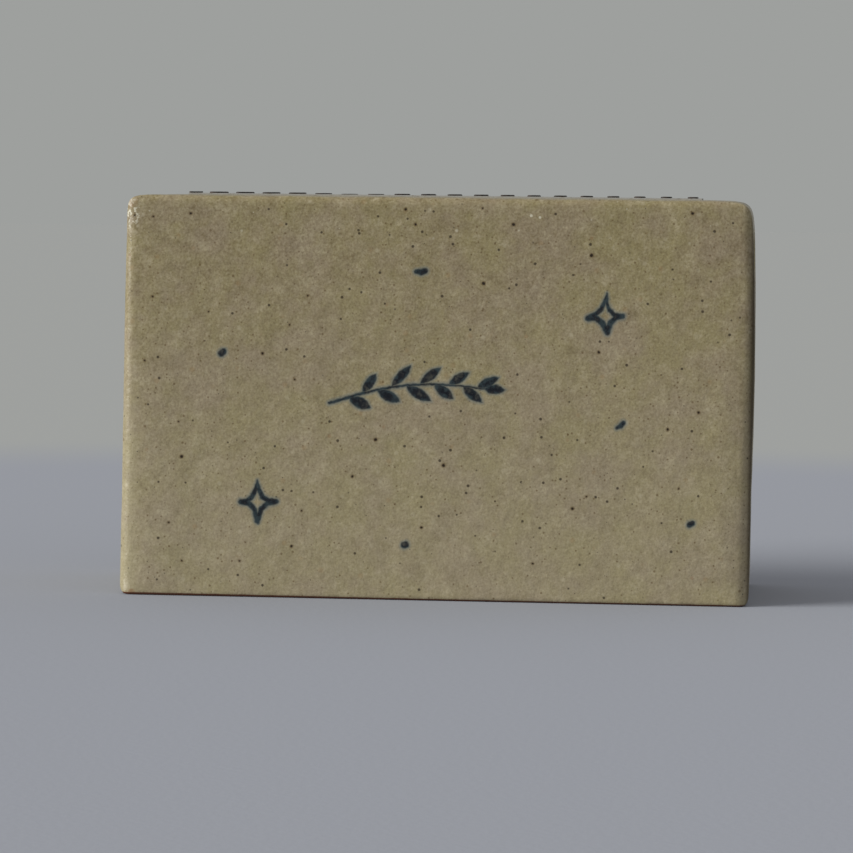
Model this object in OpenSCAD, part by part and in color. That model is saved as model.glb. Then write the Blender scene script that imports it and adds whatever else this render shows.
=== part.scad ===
// Ceramic matchbox, standing on its long side. A slab-built stoneware sleeve is open at both ends,
// a stoneware tray slides out of it either way, a striking strip is stuck on top, and a pile of
// wooden matches lies in the tray.
// X runs along the box, the painted face looks along -Y, and Z = 0 is the surface it stands on.

/* [Sleeve] */
// Overall length of the sleeve
sleeve_l = 69; // [64:0.2:100]
// Depth from the painted face to the back
sleeve_d = 26; // [25.8:0.2:40]
// Height as it stands, without the striking strip
sleeve_h = 43.7; // [42:0.1:70]
// Thickness of the slabs
sleeve_wall = 3.4; // [2.6:0.1:3.5]
// How far the top of the left end leans in
left_lean = 0.64; // [0:0.02:0.8]
// How far the right end draws in at its foot, from where it swells most
right_foot_inset = 0.25; // [0:0.05:0.6]
// How far the right end draws in at its top, from where it swells most
right_top_inset = 0.4; // [0:0.05:0.6]
// Rounding of the upright edges at the ends
end_edge_r = 1.3; // [0.8:0.1:1.6]
// Rounding of the long edges at the top
top_edge_r = 1; // [0.5:0.1:1.6]
// Rounding of the long edges at the foot
foot_edge_r = 0.45; // [0.3:0.05:1]
// Rounding of the four corners inside
inner_corner_r = 1.2; // [0.5:0.1:2]
// Width of the eased edge round each mouth
mouth_ease = 0.8; // [0.4:0.1:1]

/* [Soft corners of the painted face] */
// Top left corner: how far it reaches down the end
top_left_drop = 4; // [2:0.5:10]
// Top left corner: how far it reaches along the top
top_left_run = 6; // [2:0.5:8]
// Top right corner: how far it reaches down the end
top_right_drop = 9; // [2:0.5:9]
// Top right corner: how far it reaches along the top
top_right_run = 8; // [2:0.5:10]
// Foot corner on the left: how far it reaches up the end
foot_left_rise = 3; // [1:0.5:6]
// Foot corner on the left: how far it reaches along the foot
foot_left_run = 2; // [1:0.5:6]
// Foot corner on the right: how far it reaches up the end
foot_right_rise = 5; // [1:0.5:8]
// Foot corner on the right: how far it reaches along the foot
foot_right_run = 5; // [1:0.5:8]

/* [Tray] */
// Distance from each end of the tray to the sleeve's furthest reach
tray_inset = 1.3; // [1.1:0.1:2.5]
// Gap where the tray rests: under it and behind it
seat_gap = 0.25; // [0.15:0.05:0.5]
// Slack above the tray and in front of its rim
slip_gap = 0.8; // [0.5:0.1:0.9]
// Thickness of the tray's long walls
tray_wall = 2.8; // [2:0.1:3.4]
// Thickness of the tray's end walls
tray_end_wall = 3.2; // [2.2:0.1:4]
// Thickness of the tray's floor
tray_floor = 2.7; // [2:0.1:2.7]
// Rounding of the tray's outer edges
tray_edge_r = 0.9; // [0.4:0.1:1.4]
// Rounding in the corners of the hollow
tray_hollow_r = 1.4; // [0.6:0.1:3]
// Width of the eased edge round the rim of the hollow
rim_ease = 0.7; // [0.3:0.1:0.9]

/* [Striking strip] */
// Length of the strip
strip_l = 56.6; // [40:0.2:60]
// Width of the strip
strip_w = 9; // [7.5:0.5:18]
// How far the strip's middle lies right of the sleeve's middle
strip_shift = 0.1; // [-2:0.1:2]
// Thickness of the adhesive film
adhesive_t = 0.06; // [0.04:0.02:0.2]
// Thickness of the paper
paper_t = 0.12; // [0.1:0.02:0.4]
// Thickness of the printed striking compound
coat_t = 0.16; // [0.04:0.02:0.2]
// Distance from one printed block to the next along the strip
block_pitch = 2.93; // [2:0.01:4]
// Length of a printed block
block_l = 1.08; // [0.8:0.04:1.96]
// Distance from one row of blocks to the next
row_pitch = 3; // [2.5:0.1:5]
// Width of a printed block, across the strip
block_w = 2.4; // [1.2:0.1:2.4]
// How much is cut off the corners of a block
block_corner = 0.3; // [0.1:0.05:0.5]

/* [Matches] */
// Number of matches in the tray
match_count = 24; // [6:1:27]
// Length of a splint
splint_l = 47; // [40:0.5:49]
// Width and thickness of a splint
splint_w = 1.9; // [1.6:0.05:1.9]
// Thickest diameter of a head
head_d = 3; // [3:0.05:3.3]
// Length of a head
head_l = 4.6; // [3:0.1:6]
// How far the head reaches past the splint's end
head_tip = 0.9; // [0.6:0.1:1.4]
// Space between two heads that lie side by side
head_gap = 0.06; // [0.02:0.01:0.2]
// Space between the tails of two matches that lie on each other
tail_gap = 0.1; // [0.05:0.01:0.3]

/* [Hidden] */
// Height of the right end's swell, as a share of the sleeve's height
swell_share = 0.66;
// How far the bend at the swell reaches up and down
swell_leg = 5;
// How a soft corner tightens: 2 is a plain bend, and more is a tighter bend with longer tails
corner_power = 3.5;
swell_power = 2;
corner_steps = 10;
arc_steps = 6;
// Thickness of the slices that a hull joins
slice_t = 0.1;
// How far a cut runs past the face that it opens
overrun = 5;
// Where the first gap between blocks lies, from the strip's left edge, as a share of their pitch
first_gap_share = 0.46;
// Outline of a match head, from its skirt to its tip: along its length, and out from its axis
head_shares = [
    [0, 0.91], [0.1, 0.95], [0.25, 0.985], [0.42, 1], [0.58, 0.98],
    [0.72, 0.91], [0.84, 0.76], [0.93, 0.53], [0.98, 0.29], [1, 0.1]
];
// Where each match lies in its play along the hollow, and how far its tail strays to one side
stray_shares = [0.32, 0.46, 0.24, 0.4, 0.5, 0.35, 0.2, 0.48, 0.28, 0.43, 0.38];
skew_shares = [0.4, -0.7, 0.2, 0.9, -0.3, -0.9, 0.6];

half_l = sleeve_l / 2;
half_d = sleeve_d / 2;
tunnel_d = sleeve_d - 2 * sleeve_wall;
tunnel_h = sleeve_h - 2 * sleeve_wall;
right_foot_x = half_l - right_foot_inset;
right_top_x = half_l - right_top_inset;
left_top_x = -half_l + left_lean;
swell_z = swell_share * sleeve_h;

tray_l = sleeve_l - 2 * tray_inset;
tray_d = tunnel_d - seat_gap - slip_gap;
tray_h = tunnel_h - seat_gap - slip_gap;
tray_foot_z = sleeve_wall + seat_gap;
tray_back_y = half_d - sleeve_wall - seat_gap;
hollow_l = tray_l - 2 * tray_end_wall;
hollow_h = tray_h - 2 * tray_wall;
hollow_d = tray_d - tray_floor;
hollow_foot_z = tray_foot_z + tray_wall;
hollow_back_y = tray_back_y - tray_floor;
hollow_left_x = -hollow_l / 2;

paper_z = sleeve_h + adhesive_t;
coat_z = paper_z + paper_t;
block_columns = ceil(strip_l / block_pitch) + 1;
block_rows = ceil(strip_w / row_pitch);

match_l = splint_l + head_tip;
head_centre = match_l - head_l / 2;
head_pitch = head_d + head_gap;
tail_pitch = splint_w + tail_gap;
match_columns = floor((hollow_d - head_gap) / head_pitch);
tail_play = (head_pitch - splint_w) / 2;
length_play = hollow_l - match_l;
// The layers of matches fan out from their tails to where the nearest head lies
fan_l = length_play * min(stray_shares) + head_centre;
fan_rise = (head_pitch - tail_pitch) / fan_l;
foot_rise = (head_gap + head_d / 2 - tail_gap - splint_w / 2) / fan_l;

NUMBERS = [for (i = [1 : match_count]) str(i < 10 ? "0" : "", i)];

function unit(v) = v / norm(v);

// Points of one soft corner at p, between the points before and after it on the outline.
// bend holds how far the corner reaches back and on, and its power.
function soft_corner(before, p, after, bend) =
    let (come = unit(p - before), leave = unit(after - p))
    [for (i = [0 : corner_steps])
        let (t = i / corner_steps)
        p - come * bend[0] * pow(1 - t, bend[2]) + leave * bend[1] * pow(t, bend[2])];

// How much of their reach the two corners of side k keep, so that they never meet on a short side
function kept_share(points, bends, k) =
    let (next = (k + 1) % len(points))
    min(1, norm(points[next] - points[k]) / (bends[k][1] + bends[next][0]));

function soft_outline(points, bends) =
    let (n = len(points))
    [for (k = [0 : n - 1])
        let (
            last = (k + n - 1) % n,
            reach_back = bends[k][0] * kept_share(points, bends, last),
            reach_on = bends[k][1] * kept_share(points, bends, k),
            bend = [reach_back, reach_on, bends[k][2]]
        )
        for (p = soft_corner(points[last], points[k], points[(k + 1) % n], bend))
            p];

// A rectangle between two corners, whose own four corners are round: low left, low right,
// high right and high left
function round_rectangle(low, high, radii) =
    let (
        corners = [low, [high[0], low[1]], high, [low[0], high[1]]],
        inward = [[1, 1], [-1, 1], [-1, -1], [1, -1]]
    )
    [for (k = [0 : 3])
        for (i = [0 : arc_steps])
            let (a = 180 + 90 * k + 90 * i / arc_steps)
            corners[k] + inward[k] * radii[k] + [cos(a), sin(a)] * radii[k]];

function four(r) = [r, r, r, r];

// Stands an outline drawn in X and Z up, and runs it through the depth from y_low
module through_depth(y_low, depth) {
    translate([0, y_low + depth, 0]) rotate([90, 0, 0]) linear_extrude(depth) children();
}

// Lays an outline drawn in Y and Z along X, from x_low
module along_length(x_low, length) {
    translate([x_low, 0, 0]) rotate([90, 0, 90]) linear_extrude(length) children();
}

// The painted face's outline, from the foot corner on the left and round by the right
module face_outline() {
    polygon(soft_outline(
        [
            [-half_l, 0],
            [right_foot_x, 0],
            [half_l, swell_z],
            [right_top_x, sleeve_h],
            [left_top_x, sleeve_h]
        ],
        [
            [foot_left_rise, foot_left_run, corner_power],
            [foot_right_run, foot_right_rise, corner_power],
            [swell_leg, swell_leg, swell_power],
            [top_right_drop, top_right_run, corner_power],
            [top_left_run, top_left_drop, corner_power]
        ]
    ));
}

// Level slice of the block with round corners
module plan_slice(z, x_low, x_high) {
    translate([0, 0, z]) linear_extrude(slice_t)
        polygon(round_rectangle([x_low, -half_d], [x_high, half_d], four(end_edge_r)));
}

// The solid block that the slabs enclose, with all its outer edges rounded
module sleeve_block() {
    section_radii = [foot_edge_r, foot_edge_r, top_edge_r, top_edge_r];
    intersection() {
        through_depth(-half_d, sleeve_d) face_outline();
        along_length(-half_l, sleeve_l)
            polygon(round_rectangle([-half_d, 0], [half_d, sleeve_h], section_radii));
        hull() {
            plan_slice(-overrun, -half_l, right_foot_x);
            plan_slice(swell_z, -half_l + left_lean * swell_share, half_l);
            plan_slice(sleeve_h + overrun, left_top_x, right_top_x);
        }
    }
}

// Section of the tunnel, grown by a margin on every side
module tunnel_section(margin) {
    polygon(round_rectangle(
        [-tunnel_d / 2 - margin, sleeve_wall - margin],
        [tunnel_d / 2 + margin, sleeve_wall + tunnel_h + margin],
        four(inner_corner_r + margin)
    ));
}

// Eased edge of one mouth, which widens from the tunnel's section towards the leaning end
module mouth(side, foot_x, top_x) {
    shear = (top_x - foot_x) / sleeve_h;
    multmatrix([[1, 0, shear, foot_x], [0, 1, 0, 0], [0, 0, 1, 0]]) hull() {
        along_length(-side * mouth_ease, slice_t) tunnel_section(0);
        along_length(side * mouth_ease, slice_t) tunnel_section(2 * mouth_ease);
    }
}

module sleeve() {
    color("#bcae88") difference() {
        sleeve_block();
        along_length(-half_l - overrun, sleeve_l + 2 * overrun) tunnel_section(0);
        mouth(-1, -half_l, left_top_x);
        mouth(1, right_foot_x, right_top_x);
    }
}

// The tray's outer block, with rounded edges on all sides
module tray_block() {
    top_z = tray_foot_z + tray_h;
    front_y = tray_back_y - tray_d;
    intersection() {
        through_depth(front_y, tray_d)
            polygon(round_rectangle([-tray_l / 2, tray_foot_z], [tray_l / 2, top_z], four(tray_edge_r)));
        along_length(-tray_l / 2, tray_l)
            polygon(round_rectangle([front_y, tray_foot_z], [tray_back_y, top_z], four(tray_edge_r)));
        translate([0, 0, tray_foot_z]) linear_extrude(tray_h)
            polygon(round_rectangle([-tray_l / 2, front_y], [tray_l / 2, tray_back_y], four(tray_edge_r)));
    }
}

// Outline of the tray's hollow seen from the front, grown by a margin
module hollow_outline(margin) {
    polygon(round_rectangle(
        [hollow_left_x - margin, hollow_foot_z - margin],
        [-hollow_left_x + margin, hollow_foot_z + hollow_h + margin],
        four(tray_hollow_r + margin)
    ));
}

module tray() {
    rim_y = hollow_back_y - hollow_d;
    color("#c3b592") difference() {
        tray_block();
        through_depth(rim_y - overrun, hollow_d + overrun) hollow_outline(0);
        hull() {
            through_depth(rim_y + rim_ease, slice_t) hollow_outline(0);
            through_depth(rim_y - rim_ease, slice_t) hollow_outline(2 * rim_ease);
        }
    }
}

// One layer of the striking strip
module strip_layer(z, thickness) {
    translate([strip_shift, 0, z]) linear_extrude(thickness) children();
}

module strip_outline() {
    square([strip_l, strip_w], center = true);
}

module striker_adhesive() {
    color("#d9d4c4") strip_layer(sleeve_h, adhesive_t) strip_outline();
}

module striker_paper() {
    color("#d6d2c8") strip_layer(paper_z, paper_t) strip_outline();
}

// One printed block with its corners cut off, drawn from its front left corner
module block_outline() {
    c = block_corner;
    polygon([
        [c, 0], [block_l - c, 0],
        [block_l, c], [block_l, block_w - c],
        [block_l - c, block_w], [c, block_w],
        [0, block_w - c], [0, c]
    ]);
}

// The strip is cut from a printed sheet, so its ends and back edge can cut through blocks
module striker_coating() {
    gap = block_pitch - block_l;
    first_x = -strip_l / 2 + first_gap_share * block_pitch + gap / 2 - block_pitch;
    color("#3a2620") strip_layer(coat_z, coat_t) intersection() {
        strip_outline();
        for (row = [0 : block_rows - 1], column = [0 : block_columns])
            translate([first_x + column * block_pitch, -strip_w / 2 + row * row_pitch]) block_outline();
    }
}

// Puts a match, drawn with its tail at the origin and its head along +X, in its place in the pile.
// Heads are thicker than splints, so the layers fan out from their tails.
module in_pile(i) {
    column = i % match_columns;
    layer = floor(i / match_columns);
    stray = length_play * stray_shares[i % len(stray_shares)];
    slope = foot_rise + layer * fan_rise;
    tail_z = hollow_foot_z + tail_gap + splint_w / 2 + layer * tail_pitch + stray * slope;
    head_y = hollow_back_y - head_gap - head_d / 2 - column * head_pitch;
    skew = tail_play * skew_shares[i % len(skew_shares)];
    translate([hollow_left_x + stray, head_y + skew, tail_z])
        rotate([0, -atan(slope), -atan(skew / head_centre)]) children();
}

module splint_stick() {
    translate([0, -splint_w / 2, -splint_w / 2]) cube([splint_l, splint_w, splint_w]);
}

module match_splint(i) {
    color("#dcc08d") in_pile(i) splint_stick();
}

module match_head(i) {
    color("#8c2a1c") in_pile(i) difference() {
        translate([match_l - head_l, 0, 0]) rotate([0, 90, 0]) rotate_extrude($fn = 32)
            polygon(concat(
                [[0, 0]],
                [for (s = head_shares) [s[1] * head_d / 2, s[0] * head_l]],
                [[0, head_l]]
            ));
        splint_stick();
    }
}

sleeve();
tray();
striker_adhesive();
striker_paper();
striker_coating();
for (i = [0 : match_count - 1]) {
    match_splint(i);
    match_head(i);
}
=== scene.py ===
"""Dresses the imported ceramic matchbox: a glazed and painted stoneware sleeve, its clay tray, the
striking strip on top and the matches inside, on a pale studio floor.

Sizes are written in millimetres, and become metres where a mesh, a lamp or the camera is made.
"""

import logging
import math
import random
from dataclasses import dataclass, field
from enum import Enum
from functools import reduce
from typing import Iterator, Mapping, Optional, Sequence, Union

import bpy
import numpy as np
from mathutils import Matrix, Vector


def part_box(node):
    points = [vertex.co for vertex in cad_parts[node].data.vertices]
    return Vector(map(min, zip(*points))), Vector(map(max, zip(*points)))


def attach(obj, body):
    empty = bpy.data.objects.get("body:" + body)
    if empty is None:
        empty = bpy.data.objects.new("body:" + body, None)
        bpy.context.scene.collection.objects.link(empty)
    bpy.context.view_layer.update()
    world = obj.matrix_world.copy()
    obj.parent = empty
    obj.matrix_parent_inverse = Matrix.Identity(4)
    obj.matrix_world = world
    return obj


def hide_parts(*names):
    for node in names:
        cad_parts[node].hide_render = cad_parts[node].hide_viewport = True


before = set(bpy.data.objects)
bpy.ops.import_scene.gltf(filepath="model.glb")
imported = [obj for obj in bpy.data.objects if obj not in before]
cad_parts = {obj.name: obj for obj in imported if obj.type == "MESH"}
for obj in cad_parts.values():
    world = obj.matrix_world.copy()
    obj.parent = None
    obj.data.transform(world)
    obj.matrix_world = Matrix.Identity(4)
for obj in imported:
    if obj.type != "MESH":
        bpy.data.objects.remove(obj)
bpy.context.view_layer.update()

LOG = logging.getLogger("matchbox")
MM = 0.001
QUARTER = math.pi / 2
SEEDS = 10000
Rgba = tuple[float, float, float, float]
Pair = tuple[float, float]


def linear(red: int, green: int, blue: int) -> Rgba:
    """Turns a colour as a screen shows it into a shader's colour.

    Args:
        red: Red, from 0 to 255.
        green: Green, from 0 to 255.
        blue: Blue, from 0 to 255.

    Returns:
        The linear colour with an alpha of 1.
    """
    parts = [((v / 255 + 0.055) / 1.055) ** 2.4 for v in (red, green, blue)]
    return (parts[0], parts[1], parts[2], 1.0)


def climb(values: np.ndarray, start: float, run: Union[float, np.ndarray]) -> np.ndarray:
    """A share that grows from 0 at the start to 1 after the run."""
    return np.clip((values - start) / run, 0, 1)


# Shader expressions

class Sig:
    """A value that varies over a surface. Python's operators on it add Math nodes."""

    def __init__(self, shade: "Shade", socket: bpy.types.NodeSocket) -> None:
        """Wraps a socket of a shade's tree."""
        self.shade = shade
        self.socket = socket

    def math(self, operation: str, *values: "Number") -> "Sig":
        """Adds a Math node with this operation and these operands."""
        node = self.shade.node("ShaderNodeMath", {"operation": operation}, dict(enumerate(values)))
        return Sig(self.shade, node.outputs[0])

    def __add__(self, other: "Number") -> "Sig":
        """Sum."""
        return self.math("ADD", self, other)

    def __radd__(self, other: "Number") -> "Sig":
        """Sum, the number first."""
        return self.math("ADD", other, self)

    def __sub__(self, other: "Number") -> "Sig":
        """Difference."""
        return self.math("SUBTRACT", self, other)

    def __rsub__(self, other: "Number") -> "Sig":
        """Difference, the number first."""
        return self.math("SUBTRACT", other, self)

    def __mul__(self, other: "Number") -> "Sig":
        """Product."""
        return self.math("MULTIPLY", self, other)

    def __rmul__(self, other: "Number") -> "Sig":
        """Product, the number first."""
        return self.math("MULTIPLY", other, self)

    def least(self, other: "Number") -> "Sig":
        """The smaller of the two."""
        return self.math("MINIMUM", self, other)

    def most(self, other: "Number") -> "Sig":
        """The larger of the two."""
        return self.math("MAXIMUM", self, other)

    def over(self, limit: "Number") -> "Sig":
        """1 where the value is over the limit, and 0 elsewhere."""
        return self.math("GREATER_THAN", self, limit)

    def clamped(self) -> "Sig":
        """The value kept from 0 to 1."""
        return Sig(self.shade, self.shade.node("ShaderNodeClamp", {}, {0: self}).outputs[0])

    def ease(self, start: float, end: float, low: float = 0.0, high: float = 1.0) -> "Sig":
        """Runs smoothly from one value to another between two limits.

        Args:
            start: Where the result is low.
            end: Where the result is high. It may be smaller than start.
            low: The result at start.
            high: The result at end.

        Returns:
            The eased value.
        """
        settings = {"interpolation_type": "SMOOTHSTEP"}
        node = self.shade.node("ShaderNodeMapRange", settings, {0: self, 1: start, 2: end, 3: low, 4: high})
        return Sig(self.shade, node.outputs[0])


Number = Union[Sig, float]
Link = bpy.types.NodeSocket
Feed = Union[Sig, Link, float, Sequence[float]]
Colour = Union[Link, Rgba]


class Shade:
    """A node tree under construction, with its surface coordinates in millimetres."""

    def __init__(self, owner: Union[bpy.types.Material, bpy.types.World]) -> None:
        """Empties the owner's tree.

        Args:
            owner: The material or the world that is dressed.
        """
        owner.use_nodes = True
        self.tree = owner.node_tree
        self.tree.nodes.clear()

    def node(
        self, kind: str, settings: Mapping[str, object], sockets: Mapping[object, Feed]
    ) -> bpy.types.Node:
        """Adds a node.

        Args:
            kind: The node's type.
            settings: Its properties, set first.
            sockets: Its inputs by name or number, each a value or a link.

        Returns:
            The node.
        """
        node = self.tree.nodes.new(kind)
        for name, setting in settings.items():
            setattr(node, name, setting)
        for key, feed in sockets.items():
            if isinstance(feed, Sig):
                self.tree.links.new(feed.socket, node.inputs[key])
            elif isinstance(feed, bpy.types.NodeSocket):
                self.tree.links.new(feed, node.inputs[key])
            else:
                node.inputs[key].default_value = feed
        return node

    def place(self, stretch: Sequence[float] = (1, 1, 1)) -> Link:
        """Where a point of the surface lies, in millimetres times a stretch along each axis."""
        point = self.node("ShaderNodeTexCoord", {}, {}).outputs["Object"]
        return self.vector("MULTIPLY", point, [s / MM for s in stretch])

    def vector(self, operation: str, *feeds: Feed) -> Link:
        """Adds a Vector Math node whose result is a vector."""
        node = self.node("ShaderNodeVectorMath", {"operation": operation}, dict(enumerate(feeds)))
        return node.outputs["Vector"]

    def scaled(self, way: Sequence[float], times: Sig) -> Link:
        """A fixed way, made longer or shorter by a value."""
        sockets = {"Vector": tuple(way), "Scale": times}
        return self.node("ShaderNodeVectorMath", {"operation": "SCALE"}, sockets).outputs["Vector"]

    def measure(self, operation: str, *feeds: Feed) -> Sig:
        """Adds a Vector Math node whose result is a value, such as a length."""
        node = self.node("ShaderNodeVectorMath", {"operation": operation}, dict(enumerate(feeds)))
        return Sig(self, node.outputs["Value"])

    def axis(self, place: Link, letter: str) -> Sig:
        """One coordinate of a place."""
        return Sig(self, self.node("ShaderNodeSeparateXYZ", {}, {0: place}).outputs[letter])

    def attribute(self, name: str) -> Sig:
        """A value that the mesh stores at its points."""
        return Sig(self, self.node("ShaderNodeAttribute", {"attribute_name": name}, {}).outputs["Fac"])

    def noise(self, place: Link, size: float, detail: float = 2.0, rough: float = 0.5) -> Sig:
        """Cloudy noise.

        Args:
            place: Where it is read.
            size: The width of its clouds, in millimetres.
            detail: How many finer layers it has.
            rough: How strong they are.

        Returns:
            A value around 0.5.
        """
        sockets = {"Vector": place, "Scale": 1 / size, "Detail": detail, "Roughness": rough}
        return Sig(self, self.node("ShaderNodeTexNoise", {}, sockets).outputs[0])

    def grains(self, place: Link, pitch: float) -> tuple[Sig, Sig, Sig]:
        """Scattered points, one in each cell of a loose grid.

        Args:
            place: Where they are read.
            pitch: The grid's pitch, in millimetres.

        Returns:
            The distance to the nearest point in millimetres, and two random values of that point.
        """
        node = self.node("ShaderNodeTexVoronoi", {}, {"Vector": place, "Scale": 1 / pitch})
        chance = self.node("ShaderNodeSeparateColor", {}, {0: node.outputs["Color"]})
        one, other = Sig(self, chance.outputs[0]), Sig(self, chance.outputs[1])
        return Sig(self, node.outputs["Distance"]) * pitch, one, other

    def mix(self, under: Colour, over: Colour, share: Number) -> Link:
        """Lays one colour over another.

        Args:
            under: The colour where the share is 0.
            over: The colour where the share is 1.
            share: How much of the second colour shows.

        Returns:
            The mixed colour.
        """
        return self.node("ShaderNodeMix", {"data_type": "RGBA"}, {0: share, 6: under, 7: over}).outputs[2]

    def bump(self, height: Sig, depth: float, before: Optional[Link] = None) -> Link:
        """Tilts the normal as a relief would.

        Args:
            height: The relief, from 0 to 1.
            depth: How deep the relief is, in millimetres.
            before: A normal that is already tilted.

        Returns:
            The tilted normal.
        """
        sockets = {"Height": height, "Distance": depth * MM}
        if before is not None:
            sockets["Normal"] = before
        return self.node("ShaderNodeBump", {}, sockets).outputs[0]

    def surface(self, sockets: Mapping[object, Feed]) -> None:
        """Ends a material with a Principled shader that has these inputs."""
        shader = self.node("ShaderNodeBsdfPrincipled", {}, sockets)
        self.node("ShaderNodeOutputMaterial", {}, {"Surface": shader.outputs[0]})


# Meshes

class Closing(Enum):
    """How the first and last rows of a skin end."""

    RING = "joined to each other"
    FOLDED = "each folded shut on itself"


class Skin:
    """A closed surface of quads between rows of points, in millimetres."""

    decimals = 5
    least_length = 1e-12
    edge_tilt = 0.25

    def __init__(self, rows: np.ndarray, closing: Closing) -> None:
        """Joins each row to the next.

        Args:
            rows: The points, by row, by place round the row, and by axis.
            closing: How the first and last rows end.
        """
        index = np.arange(rows.shape[0] * rows.shape[1]).reshape(rows.shape[:2])
        if closing is Closing.RING:
            index = np.concatenate([index, index[:1]])
        beside = np.roll(index, -1, axis=1)
        quads = np.stack([index[:-1], beside[:-1], beside[1:], index[1:]], axis=-1).reshape(-1, 4)
        near = np.round(rows.reshape(-1, 3), self.decimals)
        self.points, source = np.unique(near, axis=0, return_inverse=True)
        self.source = source.reshape(-1)
        self.quads = self.source[quads]
        if self.volume() < 0:
            self.quads = self.quads[:, ::-1]
        self.values: dict[str, np.ndarray] = {}

    def volume(self) -> float:
        """Six times the volume inside the skin, negative if its quads face inwards."""
        a, b, c, d = (self.points[self.quads[:, i]] for i in range(4))
        return float((np.cross(a, b) * c).sum() + (np.cross(a, c) * d).sum())

    def normals(self) -> np.ndarray:
        """Averages the quads' directions round each point.

        Returns:
            The outward direction at each point.
        """
        a, b, c, d = (self.points[self.quads[:, i]] for i in range(4))
        face = np.cross(c - a, d - b)
        total = np.zeros_like(self.points)
        for corner in range(4):
            np.add.at(total, self.quads[:, corner], face)
        return total / np.maximum(np.linalg.norm(total, axis=1, keepdims=True), self.least_length)

    def relax(self, share: np.ndarray) -> None:
        """Smooths the points towards their neighbours, once.

        Args:
            share: How far each point goes, from 0 to 1.
        """
        ends = np.concatenate([self.quads[:, [i, (i + 1) % 4]] for i in range(4)])
        ends = ends[ends[:, 0] != ends[:, 1]]
        count = np.bincount(ends[:, 0], minlength=len(self.points))[:, None]
        total = np.zeros_like(self.points)
        np.add.at(total, ends[:, 0], self.points[ends[:, 1]])
        self.points = self.points + (total / np.maximum(count, 1) - self.points) * share[:, None]

    def push(self, depth: np.ndarray) -> None:
        """Moves each point along its outward direction, by its own depth in millimetres."""
        self.points = self.points + self.normals() * depth[:, None]

    def edges(self) -> np.ndarray:
        """How strongly each point lies on a rounded edge, from 0 to 1."""
        return climb(1 - np.abs(self.normals()).max(axis=1), 0, self.edge_tilt)

    def spread(self, values: np.ndarray) -> np.ndarray:
        """Turns values by row and by place round the row into values by point.

        Args:
            values: A value by row and by place round the row.

        Returns:
            A value by point.
        """
        kept = np.zeros(len(self.points))
        kept[self.source] = values.reshape(-1)
        return kept

    def faces(self, start: int) -> list[tuple[int, ...]]:
        """Lists the faces. A folded quad has three points.

        Args:
            start: The number of the skin's first point.

        Returns:
            The point numbers of each face.
        """
        shapes = []
        for quad in (self.quads + start).tolist():
            kept = tuple(p for i, p in enumerate(quad) if p != quad[i - 1])
            if len(set(kept)) >= 3:
                shapes.append(kept)
        return shapes


class Wobble:
    """A slow unevenness through space, made of crossing waves, the same on every run."""

    def __init__(self, seed: int, shortest: float, longest: float, waves: int = 16) -> None:
        """Draws the waves.

        Args:
            seed: Starts the random draws.
            shortest: The shortest wave, in millimetres.
            longest: The longest wave, in millimetres.
            waves: How many waves there are.
        """
        draw = random.Random(seed)
        self.starts = np.array([draw.uniform(0, math.tau) for _ in range(waves)])
        self.waves = np.zeros((waves, 3))
        for i in range(waves):
            way = np.array([draw.gauss(0, 1) for _ in range(3)])
            length = shortest * (longest / shortest) ** draw.random()
            self.waves[i] = way / np.linalg.norm(way) * math.tau / length

    def at(self, points: np.ndarray) -> np.ndarray:
        """The unevenness at each point, kept from -1 to 1."""
        waves = np.sin(points @ self.waves.T + self.starts).sum(axis=-1)
        return np.clip(waves / math.sqrt(2 * len(self.starts)), -1, 1)

    def share(self, points: np.ndarray) -> np.ndarray:
        """The unevenness at each point, from 0 to 1."""
        return self.at(points) * 0.5 + 0.5


@dataclass(frozen=True)
class RoundLoop:
    """How many points go round a rectangle with round corners, the same on every row."""

    across: int
    up: int
    arc: int

    def turns(self) -> np.ndarray:
        """The angles along a quarter turn."""
        return np.linspace(0, QUARTER, self.arc + 1)

    def quarter(self, radius: float) -> list[Pair]:
        """The steps of a rounded edge, each as its depth behind one face and behind the other."""
        return [(radius * (1 - math.cos(turn)), radius * (1 - math.sin(turn))) for turn in self.turns()]

    def trace(self, half_across: float, half_up: float, radius: float) -> tuple[np.ndarray, np.ndarray]:
        """Goes once round the rectangle.

        Args:
            half_across: Half its size along the first axis.
            half_up: Half its size along the second axis.
            radius: The radius of its corners.

        Returns:
            The points and their outward directions, from the low left corner on.
        """
        radius = min(radius, half_across, half_up)
        signs = [(-1, -1), (1, -1), (1, 1), (-1, 1)]
        centres = [np.array([x * (half_across - radius), y * (half_up - radius)]) for x, y in signs]
        points, ways = [], []
        for k, count in enumerate([self.across, self.up, self.across, self.up]):
            angle = math.pi + k * QUARTER + self.turns()
            way = np.stack([np.cos(angle), np.sin(angle)], axis=1)
            share = np.linspace(0, 1, count + 2)[1:-1, None]
            run = centres[(k + 1) % 4] - centres[k]
            points += [centres[k] + radius * way, centres[k] + radius * way[-1] + run * share]
            ways += [way, np.repeat(way[-1:], count, axis=0)]
        return np.concatenate(points), np.concatenate(ways)


def stand(flat: np.ndarray, axis: int, level: Union[float, np.ndarray]) -> np.ndarray:
    """Stands flat points at a level of the axis (0, 1 or 2) that they lack."""
    return np.insert(flat, axis, level, axis=1)


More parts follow.
